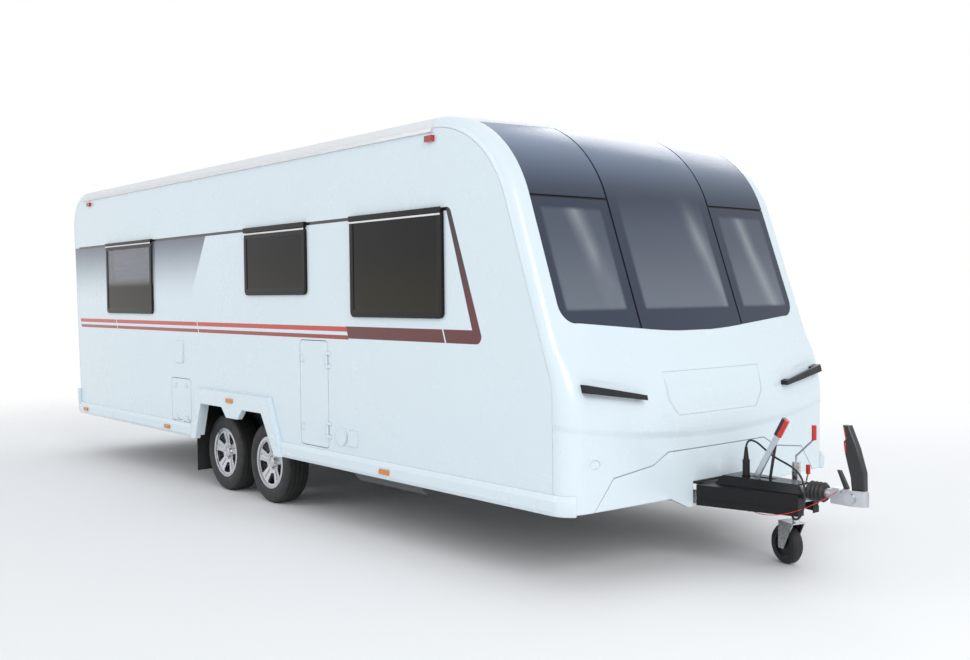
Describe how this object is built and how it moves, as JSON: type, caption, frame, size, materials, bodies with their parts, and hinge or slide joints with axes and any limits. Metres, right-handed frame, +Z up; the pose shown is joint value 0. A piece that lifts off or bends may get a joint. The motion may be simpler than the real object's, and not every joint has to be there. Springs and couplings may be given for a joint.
{
  "type": "twin-axle travel caravan",
  "caption": "White twin-axle travel caravan with a raked, tinted front, side windows, hinged doors and hatches, folding corner steadies and a jockey wheel that holds its drawbar up.",
  "frame": {"origin": "on the ground under the middle of the caravan's length and width", "axes": "+X forward to the coupling, +Y to the nearside, +Z up"},
  "size_m": [7.8882, 2.3886, 2.618],
  "materials": {
    "body_white": "gloss",
    "roof_white": "satin",
    "floor_board": "matte",
    "tinted_acrylic": "gloss",
    "dark_fairing": "gloss",
    "black_plastic": "satin",
    "grey_steel": "satin",
    "cast_grey": "satin",
    "alloy": "satin",
    "tyre": "matte",
    "rubber": "matte",
    "amber_lens": "gloss",
    "red_lens": "gloss",
    "rail_aluminium": "satin",
    "cabinet_wood": "satin",
    "cushion_fabric": "matte",
    "cable_black": "satin",
    "cable_red": "satin",
    "tank_grey": "matte"
  },
  "bodies": {
    "caravan": {"side_wall_nearside": "body_white", "side_wall_offside": "body_white", "roof_panel": "roof_white", "floor_panel": "floor_board", "front_panel": "body_white", "front_valance": "body_white", "front_window_frame": "black_plastic", "front_centre_window": "tinted_acrylic", "front_side_windows": "tinted_acrylic", "front_fairings": "dark_fairing", "rear_panel": "body_white", "rear_bumper": "body_white", "rear_lamps": "red_lens", "nearside_windows": "tinted_acrylic", "offside_windows": "tinted_acrylic", "roof_lights": "tinted_acrylic", "skirts": "body_white", "wheel_boxes": "black_plastic", "locker_linings": "black_plastic", "furniture": "cabinet_wood", "settee_bases": "cabinet_wood", "cushions": "cushion_fabric", "marker_lamps": "amber_lens", "under_floor_tank": "tank_grey", "outline_lamps": "red_lens", "awning_rails": "rail_aluminium", "front_handles": "black_plastic", "wall_fittings": "body_white", "axles": "grey_steel", "chassis_frame": "grey_steel", "overrun_housing": "cast_grey", "drawbar_gaiter": "rubber", "coupling_head": "cast_grey", "coupling_handles": "black_plastic", "handbrake_lever": "grey_steel", "drawbar_cover": "black_plastic", "jockey_tube": "grey_steel", "jockey_crank": "grey_steel", "steady_brackets": "grey_steel", "road_plug": "black_plastic", "road_plug_cable": "cable_black", "breakaway_cable": "cable_red"},
    "rear_offside_wheel": {"tyre_rear_offside": "tyre", "wheel_rear_offside": "alloy"},
    "rear_nearside_wheel": {"tyre_rear_nearside": "tyre", "wheel_rear_nearside": "alloy"},
    "front_offside_wheel": {"tyre_front_offside": "tyre", "wheel_front_offside": "alloy"},
    "front_nearside_wheel": {"tyre_front_nearside": "tyre", "wheel_front_nearside": "alloy"},
    "entrance_door": {"entrance_door": "body_white", "entrance_door_window": "tinted_acrylic"},
    "gas_locker_door": {"gas_locker_door": "body_white"},
    "cassette_door": {"cassette_door": "body_white"},
    "jockey_leg": {"jockey_leg": "grey_steel"},
    "jockey_wheel": {"jockey_wheel": "rubber"},
    "steady_rear_offside": {"steady_rear_offside": "grey_steel"},
    "steady_rear_nearside": {"steady_rear_nearside": "grey_steel"},
    "steady_front_offside": {"steady_front_offside": "grey_steel"},
    "steady_front_nearside": {"steady_front_nearside": "grey_steel"}
  },
  "joints": [
    {"name": "rear_offside_wheel_spin", "type": "hinge", "parent": "caravan", "child": "rear_offside_wheel", "pos_m": [-0.92413, -0.957, 0.296], "axis": [0, 1, 0], "continuous": true},
    {"name": "rear_nearside_wheel_spin", "type": "hinge", "parent": "caravan", "child": "rear_nearside_wheel", "pos_m": [-0.92413, 0.957, 0.296], "axis": [0, 1, 0], "continuous": true},
    {"name": "front_offside_wheel_spin", "type": "hinge", "parent": "caravan", "child": "front_offside_wheel", "pos_m": [-0.22213, -0.957, 0.296], "axis": [0, 1, 0], "continuous": true},
    {"name": "front_nearside_wheel_spin", "type": "hinge", "parent": "caravan", "child": "front_nearside_wheel", "pos_m": [-0.22213, 0.957, 0.296], "axis": [0, 1, 0], "continuous": true},
    {"name": "entrance_door_swing", "type": "hinge", "parent": "caravan", "child": "entrance_door", "pos_m": [0.92387, 1.148, 1.4], "axis": [0, 0, -1], "range_deg": [0, 165]},
    {"name": "gas_locker_door_swing", "type": "hinge", "parent": "caravan", "child": "gas_locker_door", "pos_m": [0.76387, -1.148, 0.865], "axis": [0, 0, 1], "range_deg": [0, 150]},
    {"name": "cassette_door_swing", "type": "hinge", "parent": "caravan", "child": "cassette_door", "pos_m": [-1.48613, -1.148, 0.515], "axis": [1, 0, 0], "range_deg": [0, 90]},
    {"name": "jockey_swivel", "type": "hinge", "parent": "caravan", "child": "jockey_leg", "pos_m": [3.39087, 0.212, 0.3], "axis": [0, 0, 1], "continuous": true},
    {"name": "jockey_wheel_spin", "type": "hinge", "parent": "jockey_leg", "child": "jockey_wheel", "pos_m": [3.31479, 0.23672, 0.11], "axis": [0.309, 0.9511, 0], "continuous": true},
    {"name": "steady_rear_offside_lower", "type": "hinge", "parent": "caravan", "child": "steady_rear_offside", "pos_m": [-2.80613, -0.8, 0.382], "axis": [0, -1, 0], "range_deg": [0, 55]},
    {"name": "steady_rear_nearside_lower", "type": "hinge", "parent": "caravan", "child": "steady_rear_nearside", "pos_m": [-2.80613, 0.8, 0.382], "axis": [0, -1, 0], "range_deg": [0, 55]},
    {"name": "steady_front_offside_lower", "type": "hinge", "parent": "caravan", "child": "steady_front_offside", "pos_m": [1.79387, -0.8, 0.382], "axis": [0, 1, 0], "range_deg": [0, 55]},
    {"name": "steady_front_nearside_lower", "type": "hinge", "parent": "caravan", "child": "steady_front_nearside", "pos_m": [1.79387, 0.8, 0.382], "axis": [0, 1, 0], "range_deg": [0, 55]}
  ]
}
